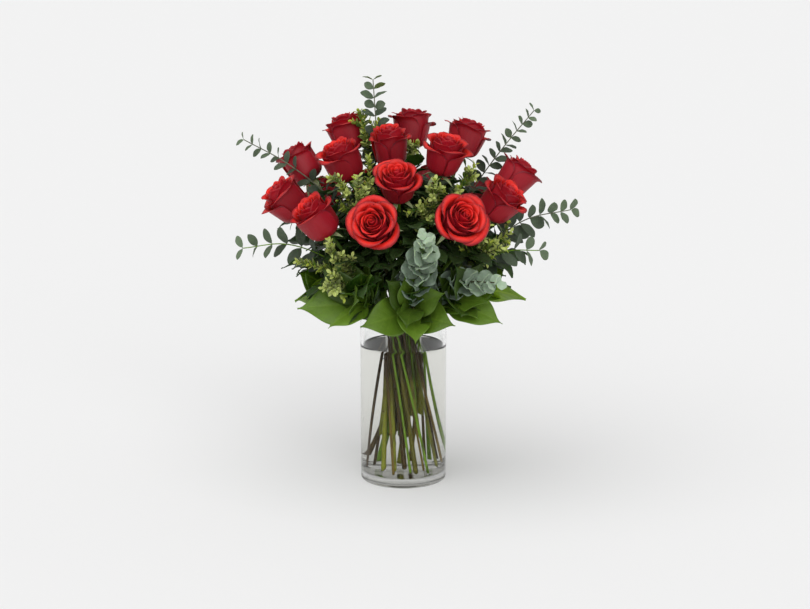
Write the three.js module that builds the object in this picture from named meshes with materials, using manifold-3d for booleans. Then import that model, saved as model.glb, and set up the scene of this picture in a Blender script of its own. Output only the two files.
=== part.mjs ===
// Roses in a glass vase, in millimetres, +Z up, origin at the centre of the vase's underside.
//
// Eighteen cut roses stand with sprigs of eucalyptus, salal and boxwood in a plain glass cylinder, in water.
// All the stems lean the same way round the vase's axis, as a florist's spiral bunch does: they are
// narrowest at the waist just above the water, spread again to their feet, and fan out above the rim.
// Each stem keeps its own place across the waist, and one smooth map carries the whole bunch from height
// to height, so no two stems can meet.
import * as THREE from "three";
import { mergeVertices } from "three/addons/utils/BufferGeometryUtils.js";
import Module from "manifold-3d";

const wasm = await Module();
wasm.setup();

// ---------- driving dimensions ----------

const GAP = 0.35; // clear space left between pieces that touch
const CLOSE = 0.6; // clear space that a leaf needs round it
const ROD_STEP = 48; // length of one facet along a stem, above the water
const WELL_SIDES = 5;
const BLADE = 1.2; // thickness of every leaf

const VASE = { radius: 60, height: 235, wall: 4, floor: 12, round: 2, sides: 32 };
const WATER_LEVEL = 192;
const DRY = 2.5; // stems stay straight to this height above the water
const WELL_DEPTH = 1.6; // depth of a stem's well below its cut end

const BUNCH = {
  waist: 204, // height where the bunch is narrowest
  lean: 112, // below the waist, stems are straight lines with this much rise per radian of lean
  flare: 38, // above the waist, the rise over which the bunch starts to widen
  droop: 3e-5, // extra widening with height squared
  turn: 0.5, // radians that the bunch goes on turning above the waist
  spread: 1.2, // clear space between stems at the waist
  step: 36, // rise from one point of a stem's line to the next, above the waist
};
// Heights of the stems' cut ends, taken in turn: the outer stems end just above the vase's floor, and those
// nearer to the bunch's middle than `core` end higher.
const CUTS = { core: 15, outer: [16.5, 24, 19], inner: [66, 92, 118] };
const FAN_FOCUS = new THREE.Vector3(0, 0, 232); // blooms face straight away from here

const ROSE = { stem: 2.8, hip: 5.6, hipLength: 9, neck: 42, sepal: 24, sepalWidth: 6, leaflet: 34, stalk: 18 };
// Each kind of leaf's width over its length.
const BLADE_SHARE = { rose: 0.62, salal: 0.62, eucalyptus: 0.7, boxwood: 0.55 };
// Each bloom: the place of its centre, its width and height, how far it has opened, from 0 to 1, and how many
// degrees its head nods towards the front.
const BLOOMS = [
  { at: [-36, -120, 378], width: 66, height: 52, open: 1, nod: 24 },
  { at: [73, -110, 383], width: 66, height: 52, open: 1, nod: 22 },
  { at: [-7, -75, 430], width: 62, height: 54, open: 0.8, nod: 12 },
  { at: [-115, -80, 383], width: 60, height: 58, open: 0.3, nod: -6 },
  { at: [-158, -25, 399], width: 64, height: 58, open: 0.5, nod: 4 },
  { at: [-143, 35, 440], width: 55, height: 56, open: 0.05, nod: 0 },
  { at: [-82, -20, 452], width: 61, height: 58, open: 0.3, nod: 8 },
  { at: [-77, 45, 483], width: 62, height: 56, open: 0.6, nod: 4 },
  { at: [-18, -10, 471], width: 56, height: 60, open: 0.5, nod: 8 },
  { at: [12, 52, 488], width: 64, height: 56, open: 0.6, nod: 0 },
  { at: [55, -30, 462], width: 64, height: 58, open: 0.7, nod: 6 },
  { at: [87, 36, 477], width: 63, height: 54, open: 0.6, nod: 0 },
  { at: [155, 20, 424], width: 60, height: 56, open: 0.5, nod: 0 },
  { at: [131, -45, 401], width: 64, height: 58, open: 0.5, nod: 4 },
  { at: [-112, 96, 387], width: 60, height: 54, open: 0.7, nod: 0 },
  { at: [-42, 138, 393], width: 62, height: 52, open: 0.9, nod: 0 },
  { at: [42, 136, 395], width: 60, height: 54, open: 0.5, nod: 0 },
  { at: [114, 94, 385], width: 62, height: 54, open: 0.8, nod: 0 },
];

// Each eucalyptus sprig leaves the bunch at one place and ends at its tip; lift arches it between them.
const EUCALYPTUS = [
  { name: "top", leave: [-34, 22, 440], tip: [-41, 18, 556], lift: 2, pairs: 5, leaf: 22, stem: 1.5 },
  { name: "upper_left", leave: [-100, 4, 396], tip: [-216, 0, 477], lift: 8, pairs: 5, leaf: 22, stem: 1.5 },
  { name: "left", leave: [-98, -30, 316], tip: [-216, -46, 336], lift: 14, pairs: 4, leaf: 29, stem: 1.5 },
  { name: "upper_right", leave: [96, 52, 400], tip: [180, 44, 512], lift: 4, pairs: 5, leaf: 25, stem: 1.5 },
  { name: "right", leave: [104, -8, 322], tip: [228, -12, 383], lift: 16, pairs: 5, leaf: 26, stem: 1.5 },
  { name: "lower_right", leave: [88, -40, 300], tip: [182, -62, 336], lift: 14, pairs: 4, leaf: 31, stem: 1.5 },
  { name: "front", leave: [12, -62, 274], tip: [28, -146, 366], lift: -10, pairs: 6, leaf: 35, stem: 1.8 },
  { name: "front_right", leave: [40, -50, 274], tip: [122, -130, 306], lift: 8, pairs: 5, leaf: 34, stem: 1.8 },
  { name: "back", leave: [-8, 92, 330], tip: [-14, 196, 468], lift: 8, pairs: 5, leaf: 26, stem: 1.5 },
];

// Each salal branch hangs its broad leaves over the rim; each leaf has its own tip.
const SALAL = [
  {
    name: "front_left",
    leave: [-34, -52, 254],
    tip: [-62, -84, 268],
    leaves: [[-99, -100, 238], [-140, -88, 262], [-112, -66, 292]],
  },
  {
    name: "front",
    leave: [10, -60, 252],
    tip: [14, -86, 262],
    leaves: [[16, -128, 224], [-56, -118, 244], [68, -112, 244], [-8, -118, 262]],
  },
  {
    name: "front_right",
    leave: [46, -46, 254],
    tip: [72, -72, 266],
    leaves: [[132, -84, 240], [112, -96, 272], [100, -104, 250]],
  },
  {
    name: "right",
    leave: [58, 6, 256],
    tip: [96, 0, 274],
    leaves: [[166, -34, 262], [150, 26, 250], [140, -20, 306]],
  },
  {
    name: "back_right",
    leave: [36, 50, 254],
    tip: [62, 82, 268],
    leaves: [[116, 96, 246], [60, 138, 246], [84, 108, 300]],
  },
  {
    name: "back_left",
    leave: [-30, 54, 254],
    tip: [-52, 90, 268],
    leaves: [[-34, 146, 244], [-98, 118, 246], [-62, 120, 304]],
  },
  {
    name: "left",
    leave: [-58, 4, 256],
    tip: [-96, -8, 272],
    leaves: [[-146, -44, 262], [-150, 20, 250], [-142, -34, 300]],
  },
];
const SALAL_BRANCH = { stem: 1.7, step: 10 }; // step: space between its leaves along it

// Each boxwood branch leaves the bunch at one place and carries a few leafy twigs, each with its own tip.
const BOXWOOD = [
  { name: "left", leave: [-52, -50, 340], tips: [[-84, -74, 436], [-60, -92, 426], [-44, -56, 452]] },
  { name: "lower_left", leave: [-52, -58, 290], tips: [[-128, -88, 322], [-104, -118, 296], [-92, -110, 334]] },
  { name: "top", leave: [-40, 24, 420], tips: [[-56, 14, 502], [-34, 46, 496], [16, 20, 470]] },
  { name: "right", leave: [38, -46, 350], tips: [[42, -82, 422], [22, -84, 400], [96, -30, 446]] },
  { name: "lower_right", leave: [66, -34, 300], tips: [[128, -88, 344], [112, -76, 372], [142, -60, 360]] },
  { name: "back", leave: [4, 66, 330], tips: [[-6, 118, 462], [70, 96, 446], [-78, 96, 446]] },
];
const BOXWOOD_TWIG = { stem: 1.3, twig: 1, leaf: 17, pairs: 2, leafy: 60 }; // leafy: length that bears leaves

const MATERIALS = {
  glass: { color: 0xe9eff0, roughness: 0.05, metalness: 0, transparent: true, opacity: 0.3 },
  water: { color: 0xdfe8e6, roughness: 0.05, metalness: 0, transparent: true, opacity: 0.4 },
  petal: { color: 0xb01226, roughness: 0.6, metalness: 0 },
  roseStem: { color: 0x55692e, roughness: 0.55, metalness: 0 },
  eucalyptus: { color: 0x6f8a78, roughness: 0.7, metalness: 0 },
  salal: { color: 0x3f7a24, roughness: 0.4, metalness: 0 },
  boxwood: { color: 0x6d8a34, roughness: 0.5, metalness: 0 },
};

// ---------- small tools ----------

const X_AXIS = new THREE.Vector3(1, 0, 0);
const Z_AXIS = new THREE.Vector3(0, 0, 1);
const point = (p) => new THREE.Vector3(...p);

/** A three.js geometry as a manifold-3d solid. */
function asSolid(geometry) {
  const bare = geometry.clone();
  for (const key of ["normal", "uv"]) bare.deleteAttribute(key);
  const merged = mergeVertices(bare, 1e-4);
  return new wasm.Manifold(
    new wasm.Mesh({
      numProp: 3,
      vertProperties: new Float32Array(merged.attributes.position.array),
      triVerts: new Uint32Array(merged.index.array),
    }),
  );
}

/** A manifold-3d solid as a named three.js mesh. */
function asMesh(name, solid, look) {
  const mesh = solid.getMesh();
  const geometry = new THREE.BufferGeometry();
  geometry.setAttribute("position", new THREE.BufferAttribute(new Float32Array(mesh.vertProperties), 3));
  geometry.setIndex(new THREE.BufferAttribute(new Uint32Array(mesh.triVerts), 1));
  geometry.computeVertexNormals();
  const made = new THREE.Mesh(geometry, new THREE.MeshStandardMaterial(MATERIALS[look]));
  made.name = name;
  return made;
}

/** A turned solid standing on z = 0: profile is [radius, height] pairs from the axis back to the axis. */
function turned(profile, sides) {
  return new THREE.LatheGeometry(profile.map(([r, z]) => new THREE.Vector2(r, z)), sides).rotateX(Math.PI / 2);
}

const smoothCurve = (points) => new THREE.CatmullRomCurve3(points, false, "centripetal");

/** A curve that is gone along by chosen shares of its length, so that a straight stretch can be one facet. */
class Stations extends THREE.Curve {
  constructor(curve, shares) {
    super();
    this.curve = curve;
    this.shares = shares;
  }

  shareAt(u) {
    const place = u * (this.shares.length - 1);
    const i = Math.min(Math.floor(place), this.shares.length - 2);
    return THREE.MathUtils.lerp(this.shares[i], this.shares[i + 1], place - i);
  }

  getPointAt(u) {
    return this.curve.getPointAt(this.shareAt(u));
  }

  getTangentAt(u) {
    return this.curve.getTangentAt(this.shareAt(u));
  }
}

/** A round rod along a curve, as a polygon section carried from one of the given shares to the next. */
function rod(curve, radius, sides, shares) {
  const turns = Array.from({ length: sides }, (_, i) => (2 * Math.PI * i) / sides);
  const corners = turns.map((a) => new THREE.Vector2(Math.cos(a), Math.sin(a)).multiplyScalar(radius));
  const section = new THREE.Shape(corners);
  const path = { steps: shares.length - 1, bevelEnabled: false, extrudePath: new Stations(curve, shares) };
  return asSolid(new THREE.ExtrudeGeometry(section, path));
}

/** Shares that part a curve from `from` to its end into `count` equal facets. */
function evenShares(count, from = 0) {
  return Array.from({ length: count + 1 }, (_, i) => 1 - (1 - from) * (1 - i / count));
}

/** Turns a geometry standing on +Z so that it stands at `base` along `axis`. */
function stoodAt(geometry, base, axis) {
  return geometry
    .applyQuaternion(new THREE.Quaternion().setFromUnitVectors(Z_AXIS, axis))
    .translate(base.x, base.y, base.z);
}

// ---------- clear space ----------

const taken = []; // every finished solid, with its box

function take(solid) {
  taken.push({ solid, box: solid.boundingBox() });
  return solid;
}

function isClear(solid) {
  const box = solid.boundingBox();
  const near = ({ box: b }) => [0, 1, 2].every((k) => box.min[k] < b.max[k] && b.min[k] < box.max[k]);
  return taken.filter(near).every((t) => t.solid.intersect(solid).isEmpty());
}

// ---------- leaves ----------

/**
 * A leaf from `base` to `tip`: rings of four points (left edge, upper midrib, right edge, lower midrib)
 * between two end points. It arches up by `arch` of its length, and its edges fold up by `fold` of its width.
 */
function leafSolid({ base, tip, up, width, thick = BLADE, arch = 0.08, fold = 0.12, rings = 1, widest = 0.45 }) {
  const along = tip.clone().sub(base);
  const length = along.length();
  const side = along.clone().cross(up).normalize();
  const normal = side.clone().cross(along).normalize();
  const spot = (t, across, rise) =>
    base
      .clone()
      .addScaledVector(along, t)
      .addScaledVector(side, across)
      .addScaledVector(normal, rise + arch * length * Math.sin(Math.PI * t));
  const points = [base.clone()];
  for (let i = 1; i <= rings; i++) {
    const t = i / (rings + 1);
    // Power of t that puts the widest place at `widest`.
    const half = (width / 2) * Math.sin(Math.PI * t ** (Math.log(0.5) / Math.log(widest))) ** 0.8;
    points.push(spot(t, -half, fold * half * 2), spot(t, 0, thick / 2));
    points.push(spot(t, half, fold * half * 2), spot(t, 0, -thick / 2));
  }
  points.push(tip.clone());
  const last = points.length - 1;
  const index = [];
  for (let k = 0; k < 4; k++) {
    const next = (k + 1) % 4;
    index.push(0, 1 + next, 1 + k);
    for (let i = 0; i < rings - 1; i++) {
      const a = 1 + 4 * i;
      index.push(a + k, a + next, a + 4 + k, a + next, a + 4 + next, a + 4 + k);
    }
    index.push(last, last - 4 + k, last - 4 + next);
  }
  const geometry = new THREE.BufferGeometry().setFromPoints(points);
  geometry.setIndex(index);
  return asSolid(geometry);
}

/** Whether a leaf has clear space round it. */
function leafIsClear(leaf) {
  const thick = (leaf.thick ?? BLADE) + 2 * CLOSE;
  return isClear(leafSolid({ ...leaf, thick, width: leaf.width + 2 * CLOSE }));
}

/** The first of the given leaves that has clear space round it, as a list of one, or an empty list. */
function firstClear(options) {
  return options.filter(leafIsClear).slice(0, 1).map(leafSolid);
}

// ---------- the bunch ----------

/** How the bunch has widened and turned at a height, counted from its waist. */
function bunchAt(z) {
  const rise = z - BUNCH.waist;
  if (rise < 0) {
    const lean = rise / BUNCH.lean;
    return { scale: Math.hypot(1, lean), turn: -Math.atan(lean) };
  }
  const scale = Math.hypot(1, rise / BUNCH.flare) + BUNCH.droop * rise * rise;
  return { scale, turn: -BUNCH.turn * (1 - Math.exp(-rise / (BUNCH.lean * BUNCH.turn))) };
}

/** Carries a place across the waist to its place at height z. */
function fromWaist([x, y], z) {
  const { scale, turn } = bunchAt(z);
  const [c, s] = [Math.cos(turn) * scale, Math.sin(turn) * scale];
  return new THREE.Vector3(c * x - s * y, s * x + c * y, z);
}

/** The place across the waist of the line of the bunch that goes through a point. */
function toWaist(p) {
  const { scale, turn } = bunchAt(p.z);
  const [c, s] = [Math.cos(turn) / scale, Math.sin(turn) / scale];
  return [c * p.x + s * p.y, -s * p.x + c * p.y];
}

/** Moves stems apart across the waist until none is closer to another than their radii and a small space. */
function packWaist(stems) {
  for (let round = 0; round < 600; round++) {
    for (const a of stems) {
      a.waist = a.waist.map((w, k) => w * 0.998 + a.wanted[k] * 0.001);
    }
    stems.forEach((a, i) =>
      stems.slice(i + 1).forEach((b) => {
        const [dx, dy] = [b.waist[0] - a.waist[0], b.waist[1] - a.waist[1]];
        const away = Math.hypot(dx, dy) || 1e-6;
        const short = a.radius + b.radius + BUNCH.spread - away;
        if (short <= 0) return;
        const [px, py] = [(dx / away) * short * 0.5, (dy / away) * short * 0.5];
        a.waist = [a.waist[0] - px, a.waist[1] - py];
        b.waist = [b.waist[0] + px, b.waist[1] + py];
      }),
    );
  }
}

/** The line of a stem: up through the bunch to `leave`, then through the points of `after`. */
function stemCurve({ waist, wanted, foot, leave, after }) {
  const { waist: low, step } = BUNCH;
  const heights = [foot, (foot + WATER_LEVEL) / 2, WATER_LEVEL + DRY, low];
  for (let z = low + step; z < leave.z - step / 2; z += step) heights.push(z);
  const line = heights.map((z) => {
    const share = THREE.MathUtils.smoothstep(z, low, leave.z);
    return fromWaist([0, 1].map((k) => waist[k] + (wanted[k] - waist[k]) * share), z);
  });
  return smoothCurve([...line, leave, ...after]);
}

/** Where a bloom stands: its axis, the middle of its underside, and where its stem leaves the bunch. */
function bloomStand({ at, height, nod }) {
  const centre = point(at);
  const axis = centre.clone().sub(FAN_FOCUS).normalize().applyAxisAngle(X_AXIS, THREE.MathUtils.degToRad(nod));
  const base = centre.clone().addScaledVector(axis, -height / 2);
  return { axis, base, leave: base.clone().addScaledVector(axis, -ROSE.neck) };
}

/** A sprig's points beyond the bunch: a middle point lifted above the straight line, and the tip. */
function sprigAfter(leave, tip, lift) {
  const middle = leave.clone().lerp(tip, 0.5);
  middle.z += lift;
  return [middle, tip];
}

const stems = [];

function addStem(radius, leave, after) {
  const wanted = toWaist(leave);
  const stem = { radius, leave, after, wanted, waist: [...wanted] };
  stems.push(stem);
  return stem;
}

const roses = BLOOMS.map((bloom, i) => {
  const number = String(i + 1).padStart(2, "0");
  const stand = bloomStand(bloom);
  const end = stand.base.clone().addScaledVector(stand.axis, -ROSE.hipLength * 0.6);
  return { ...bloom, ...stand, number, stem: addStem(ROSE.stem, stand.leave, [end]) };
});
const eucalyptus = EUCALYPTUS.map((sprig) => {
  const [leave, tip] = [point(sprig.leave), point(sprig.tip)];
  return { ...sprig, line: addStem(sprig.stem, leave, sprigAfter(leave, tip, sprig.lift)) };
});
const salal = SALAL.map((branch) => {
  const [leave, tip] = [point(branch.leave), point(branch.tip)];
  return { ...branch, line: addStem(SALAL_BRANCH.stem, leave, sprigAfter(leave, tip, 3)) };
});
const boxwood = BOXWOOD.map((branch) => {
  const [leave, tip] = [point(branch.leave), point(branch.tips[0])];
  return { ...branch, line: addStem(BOXWOOD_TWIG.stem, leave, sprigAfter(leave, tip, 4)) };
});
packWaist(stems);
stems.forEach((stem, i) => {
  const cuts = Math.hypot(...stem.waist) < CUTS.core ? CUTS.inner : CUTS.outer;
  stem.foot = cuts[i % cuts.length];
  stem.curve = stemCurve(stem);
  const total = stem.curve.getLength();
  const straight = fromWaist(stem.waist, stem.foot).distanceTo(fromWaist(stem.waist, WATER_LEVEL + DRY));
  const shares = evenShares(Math.round((total - straight) / ROD_STEP), straight / total);
  stem.rod = rod(stem.curve, stem.radius, stem.radius > 2 ? 6 : 4, [0, ...shares]);
});

// ---------- roses ----------

/** A bloom's outer form: a cup that swells, then flares into five blunt petal tips round a low crown. */
function bloomSolid({ width, height, open, base, axis }) {
  const swell = (width / 2) * (1 - 0.08 * open);
  const lip = (width / 2) * (0.72 + 0.28 * open);
  const profile = [
    [0, 0],
    [swell * 0.3, 0],
    [swell * 0.72, height * 0.12],
    [swell, height * 0.38],
    [swell * 0.97, height * 0.62],
    [lip, height * 0.86],
    [lip * 0.8, height * 0.95],
    [lip * 0.42, height],
    [0, height * (1 - 0.06 * open)],
  ];
  const geometry = turned(profile, 10);
  const place = geometry.attributes.position;
  for (let i = 0; i < place.count; i++) {
    const share = place.getZ(i) / height;
    const angle = Math.atan2(place.getY(i), place.getX(i)) + share;
    const petals = 1 - 0.05 * (1 + Math.cos(5 * angle)) * THREE.MathUtils.smoothstep(share, 0.1, 0.8);
    place.setXY(i, place.getX(i) * petals, place.getY(i) * petals);
  }
  return asSolid(stoodAt(geometry, base.clone().addScaledVector(axis, GAP), axis));
}

/** The green hip under a bloom, swollen below its flat top. */
function hipSolid({ base, axis }) {
  const { hip, hipLength } = ROSE;
  const profile = [[0, 0], [hip * 0.5, 0], [hip, hipLength * 0.5], [hip * 0.8, hipLength], [0, hipLength]];
  return asSolid(stoodAt(turned(profile, 6), base.clone().addScaledVector(axis, -hipLength), axis));
}

/** Five narrow sepals, spread and bent back from the top of the hip. */
function sepals({ base, axis }) {
  const { hip, hipLength, sepal, sepalWidth } = ROSE;
  const outward = X_AXIS.clone().cross(axis).normalize();
  return Array.from({ length: 5 }).flatMap((_, i) => {
    const way = outward.clone().applyAxisAngle(axis, (2 * Math.PI * i) / 5);
    const start = base.clone().addScaledVector(axis, -hipLength * 0.4).addScaledVector(way, hip * 0.6);
    const options = [0.35, 0.7, 1.1].map((back) => {
      const tip = start.clone().addScaledVector(way, sepal * Math.cos(back));
      tip.addScaledVector(axis, -sepal * Math.sin(back));
      return { base: start, tip, up: axis, width: sepalWidth };
    });
    return firstClear(options);
  });
}

/** A leaf of three leaflets on a short stalk, turned about the stem until it has clear space. */
function roseLeaf({ stem }, share, firstTurn) {
  const start = stem.curve.getPointAt(share);
  const way = stem.curve.getTangentAt(share);
  const outward = start.clone().setZ(0).normalize();
  for (let turn = 0; turn < 8; turn++) {
    const round = outward.clone().applyAxisAngle(way, firstTurn + (turn * Math.PI) / 4);
    const out = round.addScaledVector(way, 0.7).normalize();
    const fork = start.clone().addScaledVector(out, ROSE.stalk);
    const across = out.clone().cross(way).normalize();
    const leaflets = [0, 1, -1].map((hand) => {
      const aim = out.clone().addScaledVector(across, hand * 0.9).normalize();
      const size = ROSE.leaflet * (hand ? 0.85 : 1);
      const base = fork.clone().addScaledVector(aim, -1);
      return { base, tip: fork.clone().addScaledVector(aim, size), up: way, width: size * BLADE_SHARE.rose };
    });
    const end = fork.clone().addScaledVector(out, 3);
    const stalk = { base: start, tip: end, up: way, width: 2.2, thick: 2.2, arch: 0, fold: 0 };
    if ([stalk, ...leaflets].every(leafIsClear)) return [stalk, ...leaflets].map(leafSolid);
  }
  return [];
}

// ---------- greens ----------

/** Pairs of leaves on a sprig's curve, each pair a quarter turn from the last, largest at the low end. */
function pairedLeaves(curve, { from, to, pairs, size, narrow, tilt }) {
  return Array.from({ length: pairs }).flatMap((_, i) => {
    const share = THREE.MathUtils.lerp(from, to, i / (pairs - 1));
    const start = curve.getPointAt(share);
    const way = curve.getTangentAt(share);
    const flat = Z_AXIS.clone().cross(way).normalize();
    const turn = 0.5 + (i % 2) * (Math.PI / 2);
    const length = size * (1 - 0.5 * (i / (pairs - 1)));
    return [1, -1].flatMap((hand) => {
      const options = [0, 0.5, -0.5, 1].map((twist) => {
        const out = flat.clone().multiplyScalar(hand).applyAxisAngle(way, turn + twist);
        const tip = start.clone().addScaledVector(out.addScaledVector(way, tilt).normalize(), length);
        return { base: start, tip, up: way, width: length * narrow };
      });
      return firstClear(options);
    });
  });
}

/** Joins solids that touch into one, and keeps the piece that holds the first of them. */
function joined(solids) {
  return wasm.Manifold.union(solids)
    .decompose()
    .sort((a, b) => b.volume() - a.volume())[0];
}

/** Makes a stem's node from its rod and what grows on it, which may touch the rod but nothing else. */
function grownStem(name, stem, look, grow) {
  taken.splice(taken.findIndex((t) => t.solid === stem.rod), 1);
  const solid = take(joined([stem.rod, ...grow()]));
  group.add(asMesh(name, solid, look));
}

const group = new THREE.Group();
group.name = "roses_in_a_vase";

const { radius, height, wall, floor, round, sides } = VASE;
const inside = radius - wall;
const lip = wall / 4;
const vaseProfile = [
  [0, 0],
  [radius - round, 0],
  [radius, round],
  [radius, height - lip],
  [radius - lip, height],
  [inside + lip, height],
  [inside, height - lip],
  [inside, floor + round],
  [inside - round, floor],
  [0, floor],
];
const vase = take(asSolid(turned(vaseProfile, sides)));
group.add(asMesh("vase", vase, "glass"));

const depth = WATER_LEVEL - floor - GAP;
const waterProfile = [
  [0, 0],
  [inside - round - GAP, 0],
  [inside - GAP, round],
  [inside - GAP, depth],
  [0, depth],
];
// Each stem stands in a well of its own through the water, a little wider than the stem.
const wells = stems.map(({ waist, foot, radius: thickness }) => {
  const line = new THREE.LineCurve3(fromWaist(waist, foot - WELL_DEPTH), fromWaist(waist, WATER_LEVEL + DRY));
  return rod(line, (thickness + GAP) / Math.cos(Math.PI / WELL_SIDES), WELL_SIDES, [0, 1]);
});
const filled = asSolid(turned(waterProfile, sides).translate(0, 0, floor + GAP));
const water = take(filled.subtract(wasm.Manifold.union(wells)));
group.add(asMesh("water", water, "water"));

// The blooms and all the rods are taken first, so that leaves find their own way between them.
for (const rose of roses) group.add(asMesh(`rose_${rose.number}_bloom`, take(bloomSolid(rose)), "petal"));
for (const stem of stems) take(stem.rod);

for (const { name, leaves, line } of salal) {
  grownStem(`salal_${name}`, line, "salal", () => {
    const total = line.curve.getLength();
    return leaves.map(point).flatMap((tip, i) => {
      const base = line.curve.getPointAt(1 - (i * SALAL_BRANCH.step + 1) / total);
      const up = base.clone().setZ(0).setLength(0.8).add(Z_AXIS);
      const width = tip.distanceTo(base) * BLADE_SHARE.salal;
      const leaf = { base, tip, up, width, arch: 0.12, rings: 2 };
      const options = [{}, { arch: 0.2 }, { arch: 0.02 }, { width: width * 0.7 }];
      return firstClear(options.map((change) => ({ ...leaf, ...change })));
    });
  });
}

for (const rose of roses) {
  grownStem(`rose_${rose.number}_stem`, rose.stem, "roseStem", () => [
    hipSolid(rose),
    ...sepals(rose),
    ...roseLeaf(rose, 0.8, 0.4),
  ]);
}

for (const { name, tip, pairs, leaf, line } of eucalyptus) {
  grownStem(`eucalyptus_${name}`, line, "eucalyptus", () => {
    const leafy = line.leave.distanceTo(point(tip)) + ROSE.leaflet / 3;
    const from = 1 - leafy / line.curve.getLength();
    const form = { size: leaf, narrow: BLADE_SHARE.eucalyptus, tilt: 0.5 };
    return pairedLeaves(line.curve, { ...form, from, to: 0.995, pairs });
  });
}

for (const { name, tips, line } of boxwood) {
  grownStem(`boxwood_${name}`, line, "boxwood", () => {
    const total = line.curve.getLength();
    const fork = line.curve.getPointAt(1 - line.leave.distanceTo(point(tips[0])) / total);
    const twigs = tips.slice(1).map((tip) => smoothCurve([fork, ...sprigAfter(fork, point(tip), 3)]));
    const thin = twigs.filter((twig) => isClear(rod(twig, line.radius + CLOSE, 4, evenShares(3))));
    const { leaf, pairs } = BOXWOOD_TWIG;
    const leafy = { pairs, size: leaf, narrow: BLADE_SHARE.boxwood, tilt: 0.8 };
    return [
      ...thin.map((twig) => rod(twig, BOXWOOD_TWIG.twig, 4, evenShares(3))),
      ...pairedLeaves(line.curve, { ...leafy, from: 1 - BOXWOOD_TWIG.leafy / total, to: 0.995 }),
      ...twigs.flatMap((twig) => pairedLeaves(twig, { ...leafy, from: 0.4, to: 0.99 })),
    ];
  });
}

export default group;
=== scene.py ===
"""Roses in a glass vase: the finished look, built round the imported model. Metres, +Z up, -Y towards the viewer.

Every petal, leaf, stem and the glass itself is a closed surface worked out with numpy as whole arrays. The
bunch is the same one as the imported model's: its stems lean one way round the vase's axis, are narrowest at the
waist just above the water, and fan out above the rim.
"""
import bpy
import numpy as np
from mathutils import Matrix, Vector


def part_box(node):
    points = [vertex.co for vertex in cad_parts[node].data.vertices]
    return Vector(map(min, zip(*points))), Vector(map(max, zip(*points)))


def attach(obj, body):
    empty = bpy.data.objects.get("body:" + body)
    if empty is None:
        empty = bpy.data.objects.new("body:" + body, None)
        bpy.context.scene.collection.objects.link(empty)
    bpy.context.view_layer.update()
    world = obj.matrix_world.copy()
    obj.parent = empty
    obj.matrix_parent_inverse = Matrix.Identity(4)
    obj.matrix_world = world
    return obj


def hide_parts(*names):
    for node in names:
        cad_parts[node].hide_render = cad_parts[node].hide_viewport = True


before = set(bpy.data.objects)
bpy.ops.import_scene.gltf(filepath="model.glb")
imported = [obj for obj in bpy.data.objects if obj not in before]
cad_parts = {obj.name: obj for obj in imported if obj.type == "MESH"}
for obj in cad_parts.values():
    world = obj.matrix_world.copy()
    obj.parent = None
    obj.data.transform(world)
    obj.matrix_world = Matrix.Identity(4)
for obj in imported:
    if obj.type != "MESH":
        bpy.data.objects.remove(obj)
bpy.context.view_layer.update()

# ---------- driving dimensions ----------

MM = 0.001
RNG = np.random.default_rng(18)

VASE = {"radius": 0.060, "wall": 0.004, "floor": 0.012, "round": 0.002}
VASE["height"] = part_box("vase")[1].z
WATER_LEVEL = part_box("water")[1].z

BUNCH = {
    "waist": 0.204,  # height where the bunch is narrowest
    "lean": 0.112,  # below the waist, this much rise per radian of lean
    "flare": 0.038,  # above the waist, the rise over which the bunch starts to widen
    "droop": 30.0,  # extra widening with height squared, per square metre
    "turn": 0.5,  # radians that the bunch goes on turning above the waist
    "spread": 0.0012,  # clear space between stems at the waist
    "step": 0.036,  # rise from one point of a stem's line to the next, above the waist
}
# Heights of the stems' cut ends, taken in turn; stems nearer to the bunch's middle than `core` end higher.
CUTS = {"core": 0.015, "outer": [0.0165, 0.024, 0.019], "inner": [0.066, 0.092, 0.118]}
FAN_FOCUS = np.array([0, 0, 0.232])  # blooms face straight away from here
DRY = 0.0025  # stems stay straight to this height above the water

ROSE = {"stem": 0.0028, "hip": 0.0056, "hip_length": 0.009, "neck": 0.042, "sepal": 0.024, "leaflet": 0.039}
# How far each rose has opened, from 0 to 1, in the order of their numbers.
OPENNESS = [1, 1, 0.8, 0.3, 0.5, 0.05, 0.3, 0.6, 0.5, 0.6, 0.7, 0.6, 0.5, 0.5, 0.7, 0.9, 0.5, 0.8]
# How many degrees each rose's head nods towards the front.
NODS = [24, 22, 12, -6, 4, 0, 8, 4, 8, 0, 6, 0, 0, 4, 0, 0, 0, 0]

# Each eucalyptus sprig leaves the bunch at one place and ends at its tip; lift arches it between them. Last come
# the length of its leaves, their width for that length, and the rise from one pair to the next.
EUCALYPTUS = [
    ("top", (-0.034, 0.022, 0.440), (-0.041, 0.018, 0.556), 0.002, "slender", 0.025, 0.64, 0.012),
    ("upper_left", (-0.100, 0.004, 0.396), (-0.216, 0, 0.477), 0.008, "slender", 0.021, 0.58, 0.0125),
    ("left", (-0.098, -0.030, 0.316), (-0.216, -0.046, 0.336), 0.014, "slender", 0.030, 0.50, 0.019),
    ("upper_right", (0.096, 0.052, 0.400), (0.180, 0.044, 0.512), 0.004, "slender", 0.020, 0.62, 0.012),
    ("right", (0.104, -0.008, 0.322), (0.228, -0.012, 0.383), 0.016, "slender", 0.028, 0.62, 0.0135),
    ("lower_right", (0.088, -0.040, 0.300), (0.182, -0.062, 0.336), 0.014, "slender", 0.031, 0.60, 0.017),
    ("front", (0.012, -0.062, 0.274), (0.028, -0.146, 0.366), -0.010, "silver", 0.039, 1.0, 0.0115),
    ("front_right", (0.040, -0.050, 0.274), (0.122, -0.130, 0.306), 0.008, "silver", 0.037, 0.95, 0.0115),
    ("back", (-0.008, 0.092, 0.330), (-0.014, 0.196, 0.468), 0.008, "slender", 0.023, 0.6, 0.014),
]
EUCALYPTUS_STEM = {"slender": 0.0015, "silver": 0.0018}

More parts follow.
